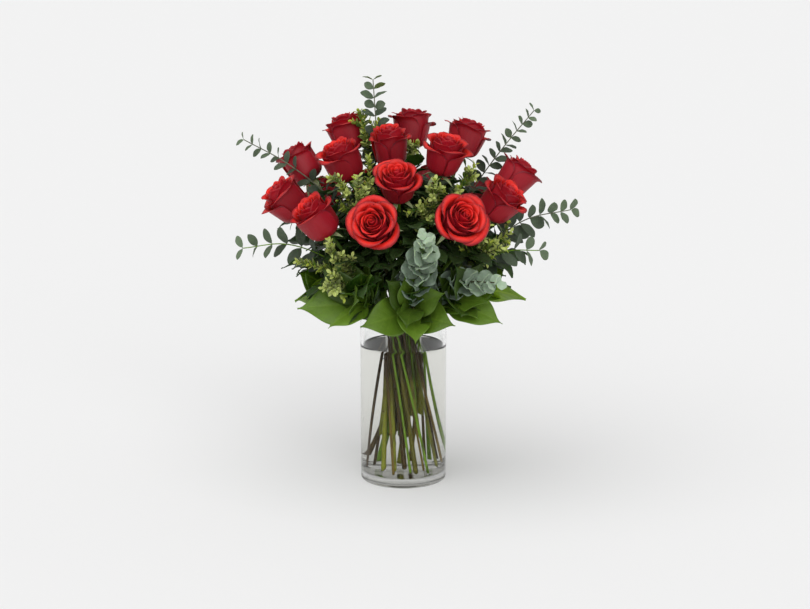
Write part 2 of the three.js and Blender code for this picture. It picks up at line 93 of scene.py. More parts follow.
# Each salal branch hangs its broad leaves over the rim; each of them has its own tip.
SALAL = [
    ("front_left", (-0.034, -0.052, 0.254), (-0.062, -0.084, 0.268),
     [(-0.099, -0.100, 0.238), (-0.140, -0.088, 0.262), (-0.112, -0.066, 0.292)]),
    ("front", (0.010, -0.060, 0.252), (0.014, -0.086, 0.262),
     [(0.016, -0.128, 0.224), (-0.056, -0.118, 0.244), (0.068, -0.112, 0.244), (-0.008, -0.118, 0.262)]),
    ("front_right", (0.046, -0.046, 0.254), (0.072, -0.072, 0.266),
     [(0.132, -0.084, 0.240), (0.112, -0.096, 0.272), (0.100, -0.104, 0.250)]),
    ("right", (0.058, 0.006, 0.256), (0.096, 0, 0.274),
     [(0.166, -0.034, 0.262), (0.150, 0.026, 0.250), (0.140, -0.020, 0.306)]),
    ("back_right", (0.036, 0.050, 0.254), (0.062, 0.082, 0.268),
     [(0.116, 0.096, 0.246), (0.060, 0.138, 0.246), (0.084, 0.108, 0.300)]),
    ("back_left", (-0.030, 0.054, 0.254), (-0.052, 0.090, 0.268),
     [(-0.034, 0.146, 0.244), (-0.098, 0.118, 0.246), (-0.062, 0.120, 0.304)]),
    ("left", (-0.058, 0.004, 0.256), (-0.096, -0.008, 0.272),
     [(-0.146, -0.044, 0.262), (-0.150, 0.020, 0.250), (-0.142, -0.034, 0.300)]),
]
SALAL_STEM = 0.0017

# Each boxwood branch leaves the bunch at one place and carries leafy twigs, each with its own tip.
BOXWOOD = [
    ("left", (-0.052, -0.050, 0.340),
     [(-0.084, -0.074, 0.436), (-0.060, -0.092, 0.426), (-0.044, -0.056, 0.452)]),
    ("lower_left", (-0.052, -0.058, 0.290),
     [(-0.128, -0.088, 0.322), (-0.104, -0.118, 0.296), (-0.092, -0.110, 0.334)]),
    ("top", (-0.040, 0.024, 0.420),
     [(-0.056, 0.014, 0.502), (-0.034, 0.046, 0.496), (0.016, 0.020, 0.470)]),
    ("right", (0.038, -0.046, 0.350),
     [(0.042, -0.082, 0.422), (0.022, -0.084, 0.400), (0.096, -0.030, 0.446)]),
    ("lower_right", (0.066, -0.034, 0.300),
     [(0.128, -0.088, 0.344), (0.112, -0.076, 0.372), (0.142, -0.060, 0.360)]),
    ("back", (0.004, 0.066, 0.330),
     [(-0.006, 0.118, 0.462), (0.070, 0.096, 0.446), (-0.078, 0.096, 0.446)]),
]
BOXWOOD_STEM = 0.0013

# ---------- vectors and lines ----------

UP = np.array([0, 0, 1.0])


def unit(v):
    """v over its length, along the last axis."""
    return v / np.maximum(np.linalg.norm(v, axis=-1, keepdims=True), 1e-12)


def smooth(x, low=0.0, high=1.0):
    """0 below low, 1 above high, and 3t^2 - 2t^3 between them."""
    t = np.clip((x - low) / (high - low), 0, 1)
    return t * t * (3 - 2 * t)


def across(axis):
    """Two unit vectors square to axis and to each other, so that the three are right-handed."""
    first = unit(np.cross(np.where(np.abs(axis[..., 2:]) > 0.9, [1.0, 0, 0], [0, 0, 1.0]), axis))
    return first, np.cross(axis, first)


def turned(v, axis, angle):
    """v turned about a unit axis: v cos + (axis x v) sin + axis (axis.v)(1 - cos)."""
    c, s = np.cos(angle)[..., None], np.sin(angle)[..., None]
    return v * c + np.cross(axis, v) * s + axis * np.sum(axis * v, -1, keepdims=True) * (1 - c)


def smooth_line(knots, count):
    """A centripetal Catmull-Rom curve through the knots, as `count` points at even steps of its length."""
    p = np.asarray(knots, float)
    p = np.vstack([2 * p[0] - p[1], p, 2 * p[-1] - p[-2]])
    gap = np.sum(np.diff(p, axis=0) ** 2, 1) ** 0.25
    d0, d1, d2 = (g[:, None] for g in (gap[:-2], gap[1:-1], gap[2:]))
    p0, p1, p2, p3 = p[:-3], p[1:-2], p[2:-1], p[3:]
    start = d1 * ((p1 - p0) / d0 - (p2 - p0) / (d0 + d1) + (p2 - p1) / d1)
    end = d1 * ((p2 - p1) / d1 - (p3 - p1) / (d1 + d2) + (p3 - p2) / d2)
    t = np.linspace(0, 1, 25)[:-1, None, None]
    cubic = p1 + start * t + (3 * (p2 - p1) - 2 * start - end) * t**2 + (2 * (p1 - p2) + start + end) * t**3
    dense = np.vstack([cubic.transpose(1, 0, 2).reshape(-1, 3), p[-2]])
    far = np.append(0, np.cumsum(np.linalg.norm(np.diff(dense, axis=0), axis=1)))
    even = np.linspace(0, far[-1], count)
    return np.stack([np.interp(even, far, dense[:, k]) for k in range(3)], 1)


def length_of(line):
    return np.linalg.norm(np.diff(line, axis=0), axis=1).sum()


def along(line, shares):
    """Points and unit directions at the given shares of an even line's length."""
    place = np.clip(np.asarray(shares, float), 0, 1) * (len(line) - 1)
    steps = np.arange(len(line))
    ways = np.gradient(line, axis=0)
    at = [np.stack([np.interp(place, steps, rows[:, k]) for k in range(3)], 1) for rows in (line, ways)]
    return at[0], unit(at[1])


# ---------- closed surfaces ----------
# A shape is a dict: points (n, 3), faces (m, 4), uv (n, 2) and marks {name: (n,)}.


def grid_faces(rows, cols, wrap=False):
    """The four corners of each cell of a grid of points, whose front looks along (next column) x (next row)."""
    index = np.arange(rows * cols).reshape(rows, cols)
    if wrap:
        index = np.hstack([index, index[:, :1]])
    corners = (index[:-1, :-1], index[:-1, 1:], index[1:, 1:], index[1:, :-1])
    return np.stack(corners, -1).reshape(-1, 4)


def joined(shapes):
    """Several shapes as one."""
    starts = np.cumsum([0] + [len(s["points"]) for s in shapes[:-1]])
    made = {k: np.concatenate([s[k] for s in shapes]) for k in ("points", "uv")}
    made["faces"] = np.concatenate([s["faces"] + start for s, start in zip(shapes, starts)])
    made["marks"] = {k: np.concatenate([s["marks"][k] for s in shapes]) for k in shapes[0]["marks"]}
    return made


def plates(middle, thick, uv, marks):
    """Thin closed plates round middle surfaces (n, rows, cols, 3): each is carried half its thickness both ways
    along its normal, and the two sheets are joined round their border by a strip."""
    count, rows, cols, _ = middle.shape
    normal = unit(np.cross(np.gradient(middle, axis=2), np.gradient(middle, axis=1)))
    half = normal * thick[..., None] / 2
    sheets = np.stack([middle + half, middle - half], 1)
    size = rows * cols
    cells = grid_faces(rows, cols)
    index = np.arange(size).reshape(rows, cols)
    loop = np.concatenate([index[0, :-1], index[:-1, -1], index[-1, :0:-1], index[:0:-1, 0]])
    after = np.roll(loop, -1)
    strip = np.stack([after, loop, loop + size, after + size], 1)
    one = np.concatenate([cells, cells[:, ::-1] + size, strip])
    faces = (one[None] + 2 * size * np.arange(count)[:, None, None]).reshape(-1, 4)
    both = lambda a: np.broadcast_to(a[:, None], (count, 2, rows, cols)).reshape(-1)
    side = np.broadcast_to(np.array([1.0, 0.0])[None, :, None, None], (count, 2, rows, cols)).reshape(-1)
    return {
        "points": sheets.reshape(-1, 3),
        "faces": faces,
        "uv": np.stack([both(uv[0]), both(uv[1])], 1),
        "marks": {"front": side, **{k: both(v) for k, v in marks.items()}},
    }


def tube(line, radii, sides, marks=None, cut=0.0):
    """A round tube along a line: rings square to it, closed by a cap at each end. `cut` slants the first end by
    that many radii."""
    ways = unit(np.gradient(line, axis=0))
    side = unit(np.cross(line[-1] - line[0] + [1e-6, 0, 0], UP))
    first = unit(side - ways * np.sum(ways * side, 1, keepdims=True))
    second = np.cross(ways, first)
    angle = np.linspace(0, 2 * np.pi, sides, endpoint=False)[None, :, None]
    round_ = first[:, None] * np.cos(angle) + second[:, None] * np.sin(angle)
    rings = line[:, None] + round_ * radii[:, None, None]
    rings[0] += ways[0] * cut * radii[0] * np.cos(angle[0])
    rows = len(line)
    points = np.concatenate([rings.reshape(-1, 3), rings[:1].mean(1), rings[-1:].mean(1)])
    even = np.arange(0, sides, 2)
    low = np.stack([np.full_like(even, rows * sides), (even + 2) % sides, even + 1, even], 1)
    top = (rows - 1) * sides
    high = np.stack([np.full_like(even, rows * sides + 1), top + even, top + even + 1, top + (even + 2) % sides], 1)
    share = np.append(np.repeat(np.linspace(0, 1, rows), sides), [0, 1])
    turn = np.append(np.tile(np.linspace(0, 1, sides, endpoint=False), rows), [0.5, 0.5])
    made = {name: np.full(len(points), value) for name, value in (marks or {}).items()}
    return {
        "points": points,
        "faces": np.concatenate([grid_faces(rows, sides, wrap=True), low, high]),
        "uv": np.stack([turn, share], 1),
        "marks": made,
    }


def lathe(profile, sides, marks=None):
    """A profile of (radius, height) rows turned about +Z; it starts and ends on the axis, and both ends close."""
    profile = np.asarray(profile, float)
    angle = np.linspace(0, 2 * np.pi, sides, endpoint=False)[None, :]
    r, z = profile[1:-1, 0][:, None], profile[1:-1, 1][:, None]
    rings = np.stack([r * np.cos(angle), r * np.sin(angle), z + 0 * angle], -1)
    rows = len(rings)
    points = np.concatenate([rings.reshape(-1, 3), [[0, 0, profile[0, 1]], [0, 0, profile[-1, 1]]]])
    even = np.arange(0, sides, 2)
    low = np.stack([np.full_like(even, rows * sides), (even + 2) % sides, even + 1, even], 1)
    top = (rows - 1) * sides
    high = np.stack([np.full_like(even, rows * sides + 1), top + even, top + even + 1, top + (even + 2) % sides], 1)
    return {
        "points": points,
        "faces": np.concatenate([grid_faces(rows, sides, wrap=True), low, high]),
        "uv": np.zeros((len(points), 2)),
        "marks": {name: np.full(len(points), value) for name, value in (marks or {}).items()},
    }


def placed(shape, origin, axis, spin=0.0):
    """A shape that stands on +Z, stood at origin along axis and spun about it."""
    first, second = across(unit(np.asarray(axis, float)))
    c, s = np.cos(spin), np.sin(spin)
    frame_ = np.stack([c * first + s * second, c * second - s * first, unit(np.asarray(axis, float))])
    return {**shape, "points": shape["points"] @ frame_ + origin}


def arc(centre, radius, low, high, count=6):
    """Points of a circle's arc in the (radius, height) plane, between two angles in degrees."""
    a = np.radians(np.linspace(low, high, count))
    return [(centre[0] + radius * np.cos(t), centre[1] + radius * np.sin(t)) for t in a]


def make_piece(name, shape, finishes, nodes=(), face_finish=None):
    """Puts a shape into a mesh object, with its UV map, its marks as point attributes and its finishes, and ties
    it to the model."""
    mesh = bpy.data.meshes.new(name)
    points, faces = shape["points"], shape["faces"]
    mesh.vertices.add(len(points))
    mesh.vertices.foreach_set("co", points.astype(np.float32).ravel())
    mesh.loops.add(faces.size)
    mesh.loops.foreach_set("vertex_index", faces.astype(np.int32).ravel())
    mesh.polygons.add(len(faces))
    mesh.polygons.foreach_set("loop_start", np.arange(0, faces.size, 4, dtype=np.int32))
    mesh.polygons.foreach_set("use_smooth", np.ones(len(faces), bool))
    for finish in finishes:
        mesh.materials.append(finish)
    if face_finish is not None:
        mesh.polygons.foreach_set("material_index", face_finish.astype(np.int32))
    uv = mesh.uv_layers.new(name="surface")
    uv.data.foreach_set("uv", shape["uv"][faces.ravel()].astype(np.float32).ravel())
    for mark, values in shape["marks"].items():
        mesh.attributes.new(mark, "FLOAT", "POINT").data.foreach_set("value", values.astype(np.float32))
    mesh.update(calc_edges=True)
    piece = bpy.data.objects.new(name, mesh)
    bpy.context.scene.collection.objects.link(piece)
    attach(piece, "root")
    if nodes:
        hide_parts(*nodes)
    return piece


# ---------- the bunch ----------


def bunch_at(z):
    """How the bunch has widened and turned at a height, counted from its waist."""
    rise = z - BUNCH["waist"]
    if rise < 0:
        lean = rise / BUNCH["lean"]
        return np.hypot(1, lean), -np.arctan(lean)
    wide = np.hypot(1, rise / BUNCH["flare"]) + BUNCH["droop"] * rise * rise
    return wide, -BUNCH["turn"] * (1 - np.exp(-rise / (BUNCH["lean"] * BUNCH["turn"])))


def from_waist(place, z):
    """Carries a place across the waist to its place at height z."""
    wide, turn = bunch_at(z)
    c, s = wide * np.cos(turn), wide * np.sin(turn)
    return np.array([c * place[0] - s * place[1], s * place[0] + c * place[1], z])


def to_waist(p):
    """The place across the waist of the line of the bunch that goes through a point."""
    wide, turn = bunch_at(p[2])
    c, s = np.cos(turn) / wide, np.sin(turn) / wide
    return np.array([c * p[0] + s * p[1], -s * p[0] + c * p[1]])


def pack_waist(wanted, radii):
    """Moves stems apart across the waist until none is closer to another than their radii and a small space."""
    waist = wanted.copy()
    pairs = [(i, j) for i in range(len(waist)) for j in range(i + 1, len(waist))]
    for _ in range(600):
        waist = waist * 0.998 + wanted * 0.001
        for i, j in pairs:
            dx, dy = waist[j] - waist[i]
            away = (dx * dx + dy * dy) ** 0.5 or 1e-6 * MM
            short = radii[i] + radii[j] + BUNCH["spread"] - away
            if short > 0:
                push = np.array([dx, dy]) / away * short * 0.5
                waist[i] -= push
                waist[j] += push
    return waist


def stem_knots(waist, wanted, foot, leave, after):
    """The points of a stem: up through the bunch to `leave`, then through the points of `after`."""
    low, step = BUNCH["waist"], BUNCH["step"]
    heights = [foot, (foot + WATER_LEVEL) / 2, WATER_LEVEL + DRY, low]
    heights += list(np.arange(low + step, leave[2] - step / 2, step))
    up = [from_waist(waist + (wanted - waist) * smooth(z, low, leave[2]), z) for z in heights]
    return np.array([*up, leave, *after])


def sprig_after(leave, tip, lift):
    """A sprig's points beyond the bunch: a middle point lifted above the straight line, and the tip."""
    leave, tip = np.asarray(leave, float), np.asarray(tip, float)
    return [(leave + tip) / 2 + UP * lift, tip]


def measured_bloom(number, nod):
    """A bloom's axis, the middle of its underside, its width and its height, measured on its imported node."""
    low, high = (np.array(corner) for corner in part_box(f"rose_{number}_bloom"))
    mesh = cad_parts[f"rose_{number}_bloom"].data
    points = np.zeros(len(mesh.vertices) * 3)
    mesh.vertices.foreach_get("co", points)
    points = points.reshape(-1, 3)
    centre = (low + high) / 2
    axis = turned(unit(centre - FAN_FOCUS), np.array([1.0, 0, 0]), np.radians(nod))
    rise = (points - centre) @ axis
    out = np.linalg.norm(points - centre - rise[:, None] * axis, axis=1)
    return {"number": number, "axis": axis, "base": centre + axis * rise.min(), "width": 2 * out.max(),
            "height": np.ptp(rise)}


ROSES = [measured_bloom(f"{i + 1:02d}", nod) for i, nod in enumerate(NODS)]
for rose, opened in zip(ROSES, OPENNESS):
    rose["open"] = opened
    rose["centre"] = rose["base"] + rose["axis"] * rose["height"] / 2


def foot_of(waist, order):
    cuts = CUTS["inner" if np.hypot(*waist) < CUTS["core"] else "outer"]
    return cuts[order % len(cuts)]


def bunch_lines():
    """Every stem's line, by name, after the stems have made room for each other at the waist."""
    stems = []
    for rose in ROSES:
        leave = rose["base"] - rose["axis"] * ROSE["neck"]
        end = rose["base"] - rose["axis"] * ROSE["hip_length"] * 0.6
        stems.append((f"rose_{rose['number']}", ROSE["stem"], leave, [end]))
    for name, leave, tip, lift, kind, *_ in EUCALYPTUS:
        stems.append((f"eucalyptus_{name}", EUCALYPTUS_STEM[kind], leave, sprig_after(leave, tip, lift)))
    for name, leave, tip, _ in SALAL:
        stems.append((f"salal_{name}", SALAL_STEM, leave, sprig_after(leave, tip, 0.003)))
    for name, leave, tips in BOXWOOD:
        stems.append((f"boxwood_{name}", BOXWOOD_STEM, leave, sprig_after(leave, tips[0], 0.004)))
    wanted = np.array([to_waist(np.asarray(leave, float)) for _, _, leave, _ in stems])
    waist = pack_waist(wanted, [radius for _, radius, _, _ in stems])
    return {
        name: smooth_line(stem_knots(waist[i], wanted[i], foot_of(waist[i], i), np.asarray(leave, float), after), 90)
        for i, (name, _, leave, after) in enumerate(stems)
    }


LINES = bunch_lines()


def off_blooms(points, room=1.0):
    """True where a point lies outside every bloom, each taken as an egg of its own width and height."""
    clear = np.ones(len(points), bool)
    for rose in ROSES:
        away = points - rose["centre"]
        rise = away @ rose["axis"]
        out = np.linalg.norm(away - rise[:, None] * rose["axis"], axis=1)
        clear &= (rise / (rose["height"] * 0.5 * room)) ** 2 + (out / (rose["width"] * 0.5 * room)) ** 2 > 1
    return clear


# ---------- petals ----------

GOLDEN = np.pi * (3 - 5**0.5)


def bloom_shape(width, height, opened, rng):
    """The petals of one bloom, standing on +Z.

    Petals follow each other by the golden angle, from a tight heart (k = 0) to loose outer ones (k = 1). Each is
    drawn on two parameters: v from its foot to its tip and s across it, with outline (u, y) =
    (sin(pi s / 2), v (1 - a + a cos(pi s / 2))). Going up a petal, its slope rises from nearly flat at the foot to
    the wall's slope, and past `begin` turns back by `roll`, sooner at the sides, which leaves the tip as a
    point; the slope's sine and cosine are summed along the petal for its height and its distance from the axis.
    """
    count, rows, cols = 28, 22, 17
    k = np.linspace(0, 1, count)[:, None, None]
    v = np.linspace(0, 1, rows)[None, :, None]
    s = np.linspace(-1, 1, cols)[None, None, :]
    vary = lambda size: rng.uniform(-size, size, (count, 1, 1))
    reach = width / 2
    outer, loose = smooth(k, 0.62, 1), smooth(k, 0.1, 0.75)

    u, c = np.sin(np.pi * s / 2), np.cos(np.pi * s / 2)
    low_side = 0.22 + 0.2 * k
    y = v * (1 - low_side + low_side * c**0.8)
    y = y + 0.035 * v**4 * np.exp(-((s / 0.18) ** 2)) * loose
    begin = 0.93 - (0.03 + 0.06 * opened) * outer + vary(0.02) - (0.03 + 0.08 * opened * outer) * np.abs(u) ** 1.5
    begin = begin + vary(0.05) * outer * u
    wall = np.radians(96 - 4 * loose - (2 + 14 * opened) * outer)
    roll = np.radians(10 + (36 + 34 * opened) * loose + (66 + 12 * opened) * outer * (1 + vary(0.5)))
    roll = roll * (0.85 + 0.3 * np.abs(u) ** 1.5)
    slope = 0.02 + (wall - 0.02) * smooth(y, 0, 0.40 + 0.05 * k)
    slope = slope - roll * np.clip((y - begin) / (1 - begin), 0, 1.1)
    middle_slope = (slope[:, 1:] + slope[:, :-1]) / 2
    step = np.diff(y, axis=1)
    start = np.zeros((count, 1, cols))
    run = np.concatenate([start, np.cumsum(np.cos(middle_slope) * step, axis=1)], 1)
    rise = np.concatenate([start, np.cumsum(np.sin(middle_slope) * step, axis=1)], 1)

    centre = cols // 2
    shoulder = run[:, int(rows * 0.62), centre][:, None, None]
    peak = rise[:, :, centre].max(1)[:, None, None]
    cup = 0.0012 + reach * (0.80 - 0.06 * opened) * k ** (1.1 - 0.2 * opened)
    top = height * (1 - 0.03 * loose * opened - (0.19 + 0.07 * opened) * outer * (1 + vary(0.35)))
    foot = 0.0006 + 0.10 * cup
    radius = foot + run * (cup - foot) / shoulder
    # The heart's petals close in over the axis.
    radius = radius * (1 - (0.8 - 0.15 * opened) * (1 - smooth(k, 0, 0.45)) * smooth(v, 0.45, 1))
    z = rise * top / peak

    phase = rng.uniform(0, 2 * np.pi, (count, 1, 1))
    radius = radius + v**3 * (0.0002 + 0.0008 * k) * np.sin(2.2 * np.pi * s + phase) + 0.0007 * u * v
    z = z + v**4 * (0.0002 + 0.0007 * k) * np.sin(3 * np.pi * s + 2 * phase)
    spread = (2.3 - 1.15 * smooth(k, 0, 0.5)) * (0.45 + 0.55 * np.sin(np.pi / 2 * np.clip(v / 0.55, 0, 1)))
    azimuth = GOLDEN * np.arange(count)[:, None, None] + vary(0.12) + spread * u
    # Only the tips of the lips pass the bloom's width.
    scale = reach * 1.1 / np.percentile(radius, 99.9)
    middle = np.stack([radius * scale * np.cos(azimuth), radius * scale * np.sin(azimuth), z + 0 * azimuth], -1)

    whole = np.ones((count, rows, cols))
    edge = np.maximum(v, np.abs(s)) * whole
    thick = 0.00065 - 0.0003 * smooth(edge, 0.8, 1)
    marks = {"edge": edge, "rank": k * whole, "mood": rng.uniform(0, 1, (count, 1, 1)) * whole}
    return plates(middle, thick, (s * whole, v * whole), marks)


# ---------- leaves ----------


def leaf_blades(base, aim, up, length, width, thick, rows, cols, widest=0.45, round_=0.75, lift=0.15, bend=0.5,
                point=0.0, fold=0.18, wave=0.0, teeth=0, quilt=0.0, stalk=0.0, mood=None, rng=RNG):
    """Leaves, each on v along its midrib and s across it.

    The midrib starts at `lift` above its aim and bends down by `bend`. The half width is
    sin(pi v^p)^round_, with p set so that it is greatest at `widest`; `point` raises the power towards the tip and
    so draws it out, and a stalk takes the first share. The blade folds up from its midrib, its margin waves and
    may be toothed, and it swells between its side veins.
    """
    base, aim, up = (np.atleast_2d(np.asarray(a, float)) for a in (base, aim, up))
    count = len(base)
    as_leaf = lambda a: np.broadcast_to(np.asarray(a, float).reshape(-1, 1, 1), (count, 1, 1))
    length, width, lift, bend = (as_leaf(a) for a in (length, width, lift, bend))
    v = np.linspace(0, 1, rows)[None, :, None]
    s = np.linspace(-1, 1, cols)[None, None, :]
    aim = unit(aim)
    side = unit(np.cross(aim, up))
    normal = np.cross(side, aim)

    blade = np.clip((v - stalk) / (1 - stalk), 0, 1)
    power = np.log(0.5) / np.log(widest)
    half = np.sin(np.pi * np.clip(blade**power, 0, 1)) ** (round_ + point * smooth(blade, 0.45, 1))
    if teeth:
        half = half * (1 + 0.09 * (np.mod(blade * teeth, 1) - 0.5) * smooth(blade, 0.02, 0.12))
    half = np.maximum(half, 0.035)
    angle = lift - bend * v**1.3
    step = length / (rows - 1)
    run = np.cumsum(np.cos(angle), axis=1) * step - np.cos(angle[:, :1]) * step
    rise = np.cumsum(np.sin(angle), axis=1) * step - np.sin(angle[:, :1]) * step
    x = half * width / 2 * s
    phase = rng.uniform(0, 2 * np.pi, (count, 1, 1))
    out = fold * np.abs(x) * (1 + 0.2 * np.sin(phase))
    ripple = np.sin(2 * np.pi * (2.2 * v + 0.2 * s) + phase)
    out = out + wave * width * np.abs(s) ** 3 * ripple * smooth(blade, 0, 0.3)
    if quilt:
        vein = np.abs(np.sin(np.pi * 7 * (blade - 0.28 * np.abs(s))))
        between = smooth(np.abs(s), 0.02, 0.2) * (1 - smooth(np.abs(s), 0.75, 1))
        out = out + quilt * (vein**0.7 - 0.6) * between * half
    row = lambda a: a[:, None, None, :]
    out = out[..., None]
    middle = (
        row(base)
        + row(aim) * (run[..., None] - out * np.sin(angle)[..., None])
        + row(normal) * (rise[..., None] + out * np.cos(angle)[..., None])
        + row(side) * x[..., None]
    )
    # Columns run along -side so that the blade's upper face is its front.
    middle = middle[:, :, ::-1]
    whole = np.ones((count, rows, cols))
    edge = np.maximum(np.abs(s), 2 * np.abs(v - 0.5))
    thin = thick * (1 - 0.5 * smooth(edge, 0.8, 1))
    mood = rng.uniform(0, 1, count) if mood is None else mood + rng.uniform(-0.2, 0.2, count)
    marks = {"edge": np.abs(s) * whole, "mood": mood[:, None, None] * whole}
    return plates(middle, thin * whole, (s * whole, blade * whole), marks)


def clear_leaves(base, aim, length, **rest):
    """Keeps only the leaves whose middle and tip lie off the blooms. Returns the kept rows of every array."""
    keep = off_blooms(base + aim * 0.55 * length[:, None]) & off_blooms(base + aim * length[:, None])
    picked = {k: a[keep] for k, a in rest.items()}
    return {"base": base[keep], "aim": aim[keep], "length": length[keep], **picked}


def ranked_leaves(line, shares, length, angle, tilt, rng, twist=0.25, swap=np.pi / 2, spiral=False):
    """Leaf places in opposite pairs along a line, every other pair turned by `swap`, or singly by the golden
    angle. `tilt` leans them forward along the line."""
    start, way = along(line, shares)
    first, second = across(way)
    order = np.arange(len(shares))
    turn = angle + (order * GOLDEN if spiral else order % 2 * swap)
    hands = (0,) if spiral else (0, np.pi)
    parts = []
    for hand in hands:
        a = turn + hand + rng.uniform(-twist, twist, len(shares))
        out = first * np.cos(a)[:, None] + second * np.sin(a)[:, None]
        lean = tilt * rng.uniform(0.6, 1.4, (len(shares), 1))
        parts.append((start, unit(out + way * lean), way, length, np.linspace(0, 1, len(shares))))
    base, aim, up, size, mood = (np.concatenate([p[i] for p in parts]) for i in range(5))
    return {"base": base, "aim": aim, "up": up, "length": size * rng.uniform(0.85, 1.12, len(size)), "mood": mood}


# ---------- finishes ----------


def new_finish(name):
    """A material with its Principled shader; returns the material, its nodes, its links and the shader."""
    made = bpy.data.materials.new(name)
    made.use_nodes = True
    tree = made.node_tree
    shader = tree.nodes["Principled BSDF"]
    return made, tree, shader


def add_node(tree, kind, links=None, **values):
    """Adds a node; values set its properties or, if it has no such property, its inputs; links feed its inputs."""
    made = tree.nodes.new(kind)
    for key, value in values.items():
        if hasattr(made, key):
            setattr(made, key, value)
        else:
            made.inputs[key.replace("_", " ")].default_value = value
    for key, source in (links or {}).items():
        tree.links.new(source, made.inputs[key])
    return made


def mixed(tree, share, first, second, blend="MIX"):
    """A colour mix; each of share, first and second is a socket or a value."""
    made = tree.nodes.new("ShaderNodeMix")
    made.data_type = "RGBA"
    made.blend_type = blend
    for socket, value in ((made.inputs[0], share), (made.inputs[6], first), (made.inputs[7], second)):
        if isinstance(value, bpy.types.NodeSocket):
            tree.links.new(value, socket)
        else:
            socket.default_value = value if isinstance(value, (int, float)) else (*value, 1)
    return made.outputs[2]


def maths(tree, operation, *values, clamp=False):
    made = tree.nodes.new("ShaderNodeMath")
    made.operation = operation
    made.use_clamp = clamp
    for socket, value in zip(made.inputs, values):
        if isinstance(value, bpy.types.NodeSocket):
            tree.links.new(value, socket)
        else:
            socket.default_value = value
    return made.outputs[0]


def mark(tree, name):
    return add_node(tree, "ShaderNodeAttribute", attribute_name=name).outputs["Fac"]


def ramped(tree, value, low, high):
    """0 where value is at low and 1 where it is at high, smoothly."""
    made = tree.nodes.new("ShaderNodeMapRange")
    made.interpolation_type = "SMOOTHSTEP"
    tree.links.new(value, made.inputs["Value"])
    made.inputs["From Min"].default_value = low
    made.inputs["From Max"].default_value = high
    return made.outputs["Result"]


def mottle_group():
    """Soft mottling: two sizes of noise on object coordinates, as one value from 0 to 1."""
    group = bpy.data.node_groups.new("mottle", "ShaderNodeTree")
    group.interface.new_socket("Size", in_out="INPUT", socket_type="NodeSocketFloat").default_value = 100
    group.interface.new_socket("Value", in_out="OUTPUT", socket_type="NodeSocketFloat")
    start, end = group.nodes.new("NodeGroupInput"), group.nodes.new("NodeGroupOutput")
    place = group.nodes.new("ShaderNodeTexCoord").outputs["Object"]
    coarse = add_node(group, "ShaderNodeTexNoise", {"Vector": place, "Scale": start.outputs["Size"]}, Detail=3.0)
    finer = maths(group, "MULTIPLY", start.outputs["Size"], 4.3)
    fine = add_node(group, "ShaderNodeTexNoise", {"Vector": place, "Scale": finer}, Detail=2.0)
    both = maths(group, "MULTIPLY_ADD", fine.outputs[0], 0.4, maths(group, "MULTIPLY", coarse.outputs[0], 0.6))
    group.links.new(both, end.inputs["Value"])
    return group


def vein_group():
    """Leaf veins on a leaf's own map: a midrib where u is 0, and side veins that run out and forward from it."""
    group = bpy.data.node_groups.new("leaf_veins", "ShaderNodeTree")
    for name, value in (("Count", 7), ("Sweep", 0.28)):
        group.interface.new_socket(name, in_out="INPUT", socket_type="NodeSocketFloat").default_value = value
    for name in ("Veins", "Across"):
        group.interface.new_socket(name, in_out="OUTPUT", socket_type="NodeSocketFloat")
    start, end = group.nodes.new("NodeGroupInput"), group.nodes.new("NodeGroupOutput")
    uv = add_node(group, "ShaderNodeUVMap", uv_map="surface")
    split = add_node(group, "ShaderNodeSeparateXYZ", {"Vector": uv.outputs[0]})
    out = maths(group, "ABSOLUTE", split.outputs["X"])
    back = maths(group, "MULTIPLY", out, start.outputs["Sweep"])
    forward = maths(group, "SUBTRACT", split.outputs["Y"], back)
    turns = maths(group, "MULTIPLY", forward, start.outputs["Count"])
    wave = maths(group, "SINE", maths(group, "MULTIPLY", turns, np.pi))
    side = maths(group, "SUBTRACT", 1.0, ramped(group, maths(group, "ABSOLUTE", wave), 0.0, 0.28))
    fading = maths(group, "MULTIPLY", side, maths(group, "SUBTRACT", 1.0, ramped(group, out, 0.5, 1.0)))
    midrib = maths(group, "SUBTRACT", 1.0, ramped(group, out, 0.02, 0.11))
    group.links.new(maths(group, "MAXIMUM", maths(group, "MULTIPLY", fading, 0.6), midrib), end.inputs["Veins"])
    group.links.new(out, end.inputs["Across"])
    return group


MOTTLE = mottle_group()
VEINS = vein_group()


def group_node(tree, group, **values):
    made = tree.nodes.new("ShaderNodeGroup")
    made.node_tree = group
    for key, value in values.items():
        made.inputs[key].default_value = value
    return made


